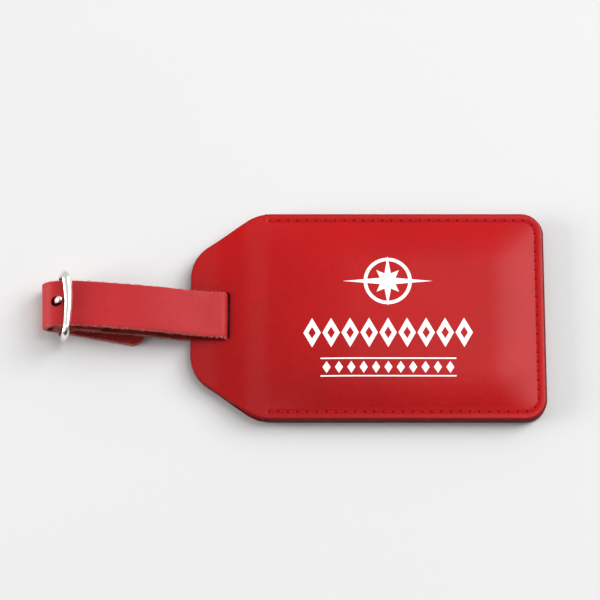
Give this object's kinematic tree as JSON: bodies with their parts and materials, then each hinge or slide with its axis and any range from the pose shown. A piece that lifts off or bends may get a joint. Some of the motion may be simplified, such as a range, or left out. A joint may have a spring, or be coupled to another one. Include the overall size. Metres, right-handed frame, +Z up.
{
  "type": "luggage tag",
  "caption": "Leather luggage tag with a padded privacy flap over a windowed card holder, on a buckled leather strap.",
  "frame": {"origin": "the middle of the tag's body, on the holder's underside, which lies on the table", "axes": "+X along the tag away from the strap, +Y across the tag, +Z up out of the padded flap"},
  "size_m": [0.1564, 0.0674, 0.013],
  "materials": {
    "red_leather": "semi-gloss smooth red leather with dark cut edges",
    "strap_leather": "satin red leather with fibrous cut edges",
    "lining": "matt dark red lining leather",
    "red_thread": "twisted red polyester thread",
    "clear_film": "clear flexible film",
    "card_stock": "uncoated card",
    "foam": "soft open-cell foam",
    "polished_metal": "bright polished nickel plate"
  },
  "bodies": {
    "holder": {"holder_back": "red_leather", "window_frame": "red_leather", "id_window": "clear_film", "holder_needle_thread": "red_thread", "holder_bobbin_thread": "red_thread", "flap_neck": "red_leather"},
    "card": {"address_card": "card_stock"},
    "flap": {"flap_face": "red_leather", "flap_foam": "foam", "flap_lining": "lining", "flap_needle_thread": "red_thread", "flap_bobbin_thread": "red_thread"},
    "strap": {"strap": "strap_leather", "strap_thread": "red_thread"},
    "strap_tail": {"strap_tail": "strap_leather"},
    "buckle": {"buckle_frame": "polished_metal"},
    "prong": {"buckle_prong": "polished_metal"}
  },
  "joints": [
    {"name": "card_slide", "type": "slide", "parent": "holder", "child": "card", "axis": [-1, 0, 0], "range_m": [0, 0.0035]},
    {"name": "flap_fold", "type": "hinge", "parent": "holder", "child": "flap", "pos_m": [-0.037, 0, 0.00555], "axis": [0, -1, 0], "range_deg": [0, 120]},
    {"name": "strap_swing", "type": "hinge", "parent": "holder", "child": "strap", "pos_m": [-0.0441, 0, 0.003], "axis": [0, 1, 0], "range_deg": [-2, 1]},
    {"name": "tail_bend", "type": "hinge", "parent": "strap", "child": "strap_tail", "pos_m": [-0.09618, 0.00289, 0.0007], "axis": [0.1788, 0.9839, 0], "range_deg": [0, 20], "stiffness_Nm_per_rad": 0.004},
    {"name": "buckle_rock", "type": "hinge", "parent": "strap", "child": "buckle", "pos_m": [-0.09513, 0.00284, 0.0046], "axis": [-0.0366, 0.9993, 0], "range_deg": [-2, 2]},
    {"name": "prong_turn", "type": "hinge", "parent": "buckle", "child": "prong", "pos_m": [-0.09513, 0.00284, 0.0046], "axis": [-0.0366, 0.9993, 0], "range_deg": [-6, 0]}
  ]
}
